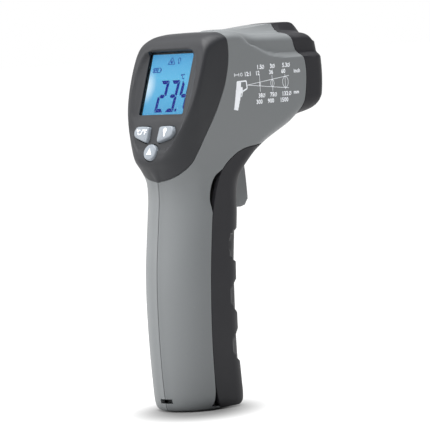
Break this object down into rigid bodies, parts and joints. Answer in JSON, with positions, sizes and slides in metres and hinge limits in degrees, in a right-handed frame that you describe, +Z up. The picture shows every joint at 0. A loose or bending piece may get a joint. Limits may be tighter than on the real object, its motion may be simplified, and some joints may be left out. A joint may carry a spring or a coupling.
{
  "type": "infrared thermometer",
  "caption": "Handheld pistol-grip infrared thermometer with a backlit display, a trigger, soft keys and a hinged battery door in the grip.",
  "frame": {"origin": "centre of the bounding box on the plane the base stands on", "axes": "+Z up along the handle, +Y the way the nose aims, +X the right flank; the display looks towards -Y"},
  "size_m": [0.0442, 0.0848, 0.1596],
  "materials": {
    "grey_body": "satin",
    "charcoal_trim": "matte",
    "dark_grip": "matte",
    "silver_key": "satin",
    "clear_window": "gloss",
    "display_glass": "gloss",
    "white_plastic": "satin",
    "rubber_part": "matte",
    "circuit_board": "satin",
    "black_plastic": "satin",
    "infrared_optic": "gloss",
    "steel_part": "satin",
    "brass_part": "satin",
    "battery_case": "satin",
    "red_lead": "satin",
    "black_lead": "satin",
    "foam_part": "matte"
  },
  "bodies": {
    "body": {"shell_right": "grey_body", "shell_left": "grey_body", "display_bezel": "charcoal_trim", "nose_ring": "charcoal_trim", "display_window": "clear_window", "lcd_module": "display_glass", "backlight_panel": "white_plastic", "zebra_connector": "rubber_part", "main_board": "circuit_board", "keypad_mat": "rubber_part", "beeper": "black_plastic", "lens_barrel": "black_plastic", "infrared_lens": "infrared_optic", "sensor_can": "steel_part", "sensor_board": "circuit_board", "laser_module": "brass_part", "laser_window": "clear_window", "trigger_pivot_pin": "steel_part", "trigger_spring": "steel_part", "trigger_bracket": "black_plastic", "trigger_switch": "black_plastic", "battery": "battery_case", "battery_snap": "black_plastic", "battery_lead_red": "red_lead", "battery_lead_black": "black_lead", "battery_tray": "charcoal_trim", "battery_pad": "foam_part", "door_hinge_pin": "steel_part", "case_screw_1": "steel_part", "case_screw_2": "steel_part", "case_screw_3": "steel_part"},
    "battery_door": {"battery_door": "dark_grip"},
    "trigger": {"trigger": "grey_body"},
    "key_unit": {"key_unit": "silver_key"},
    "key_light": {"key_light": "silver_key"},
    "key_up": {"key_up": "silver_key"}
  },
  "joints": [
    {"name": "door_hinge", "type": "hinge", "parent": "body", "child": "battery_door", "pos_m": [0, -0.01268, 0.0051], "axis": [-1, 0, 0], "range_deg": [0, 50]},
    {"name": "trigger_pivot", "type": "hinge", "parent": "body", "child": "trigger", "pos_m": [0, -0.00118, 0.1134], "axis": [-1, 0, 0], "range_deg": [0, 5.5], "stiffness_Nm_per_rad": 0.6, "springref_deg": -2.86},
    {"name": "key_unit_press", "type": "slide", "parent": "body", "child": "key_unit", "axis": [0, 0.9455, -0.3256], "range_m": [0, 0.0008], "stiffness_N_per_m": 300, "springref_m": -0.0004},
    {"name": "key_light_press", "type": "slide", "parent": "body", "child": "key_light", "axis": [0, 0.9455, -0.3256], "range_m": [0, 0.0008], "stiffness_N_per_m": 300, "springref_m": -0.0004},
    {"name": "key_up_press", "type": "slide", "parent": "body", "child": "key_up", "axis": [0, 0.9455, -0.3256], "range_m": [0, 0.0008], "stiffness_N_per_m": 300, "springref_m": -0.0004}
  ]
}
